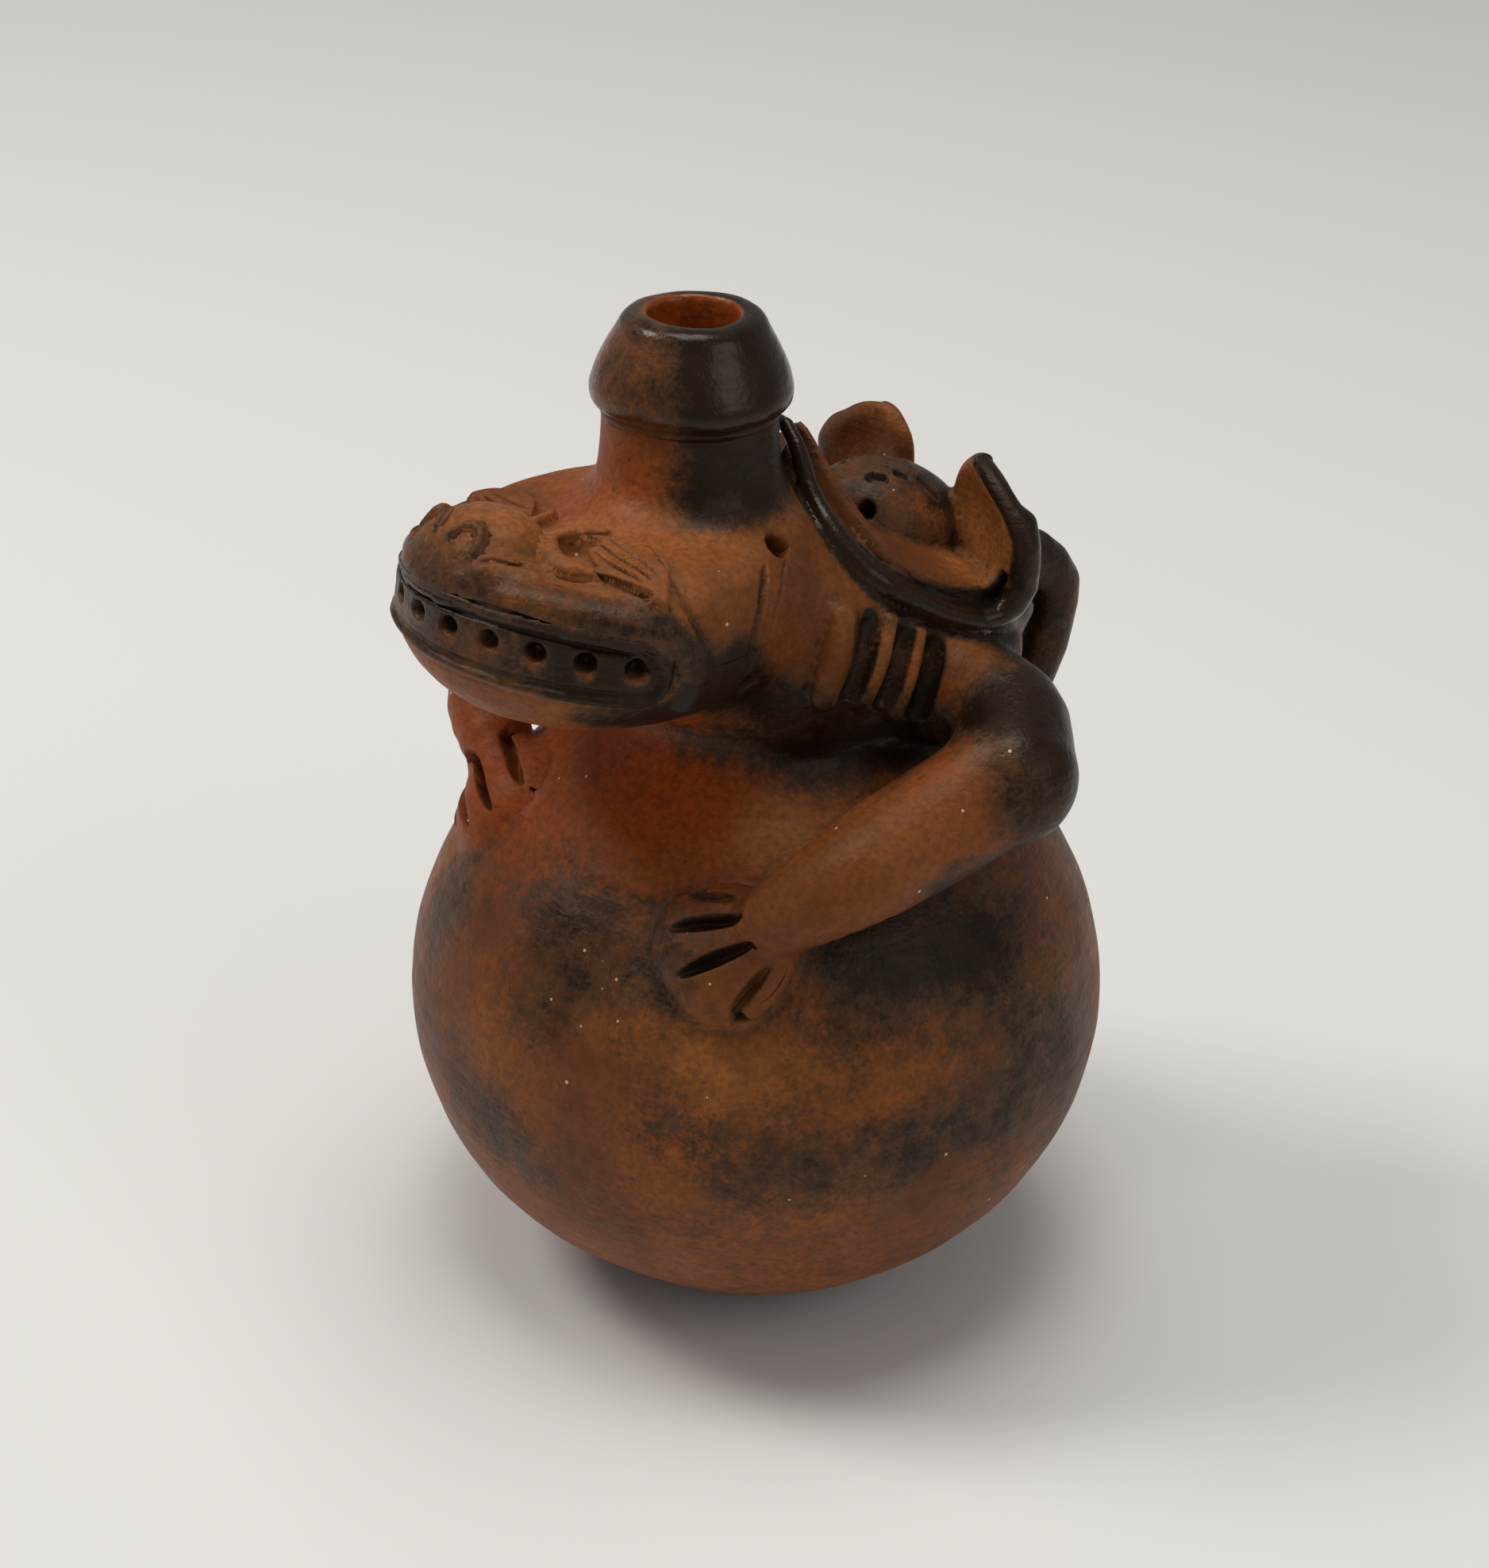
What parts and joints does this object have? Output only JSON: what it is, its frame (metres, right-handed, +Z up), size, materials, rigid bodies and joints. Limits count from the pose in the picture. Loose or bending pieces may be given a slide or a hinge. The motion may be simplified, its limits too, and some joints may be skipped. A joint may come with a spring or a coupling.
{
  "type": "zoomorphic bottle",
  "caption": "Terracotta bottle with a round chamber under a crouching beast, a short spout behind its brow, two arms that reach down to the globe and a looped tail.",
  "frame": {"origin": "middle of the flat foot, on the table", "axes": "+Z up along the globe's axis, the snout towards -Y, the beast's left side towards +X"},
  "size_m": [0.1092, 0.119, 0.1581],
  "materials": {
    "terracotta": "hand-smoothed fired clay with a soft sheen",
    "red_terracotta": "burnished red-orange fired clay",
    "smoked_terracotta": "fired clay darkened by smoke",
    "black_slip": "near-black burnished slip"
  },
  "bodies": {
    "root": {"globe_chamber": "terracotta", "neck_collar": "red_terracotta", "trunk_shell": "terracotta", "skull": "terracotta", "lower_jaw": "terracotta", "mouth_band": "black_slip", "upper_lip": "black_slip", "nose_knob": "smoked_terracotta", "spout_neck": "red_terracotta", "spout_collar": "black_slip", "rear_mask": "terracotta", "rear_crown": "smoked_terracotta", "rear_jaw": "black_slip", "tail": "smoked_terracotta", "nostril_rim_left": "terracotta", "nostril_rim_right": "terracotta", "snout_bump_left": "smoked_terracotta", "snout_bump_right": "smoked_terracotta", "eye_ring_left": "terracotta", "eye_ring_right": "terracotta", "brow_comma_left": "terracotta", "brow_comma_right": "terracotta", "shoulder_left": "terracotta", "shoulder_right": "terracotta", "upper_arm_left": "smoked_terracotta", "upper_arm_right": "smoked_terracotta", "forearm_left": "terracotta", "forearm_right": "terracotta", "hand_left": "terracotta", "hand_right": "terracotta", "ear_left": "terracotta", "ear_right": "terracotta", "shoulder_rib_1_left": "terracotta", "shoulder_rib_1_right": "terracotta", "shoulder_rib_2_left": "terracotta", "shoulder_rib_2_right": "terracotta", "shoulder_rib_3_left": "terracotta", "shoulder_rib_3_right": "terracotta", "shoulder_rib_4_left": "terracotta", "shoulder_rib_4_right": "terracotta"}
  },
  "joints": []
}
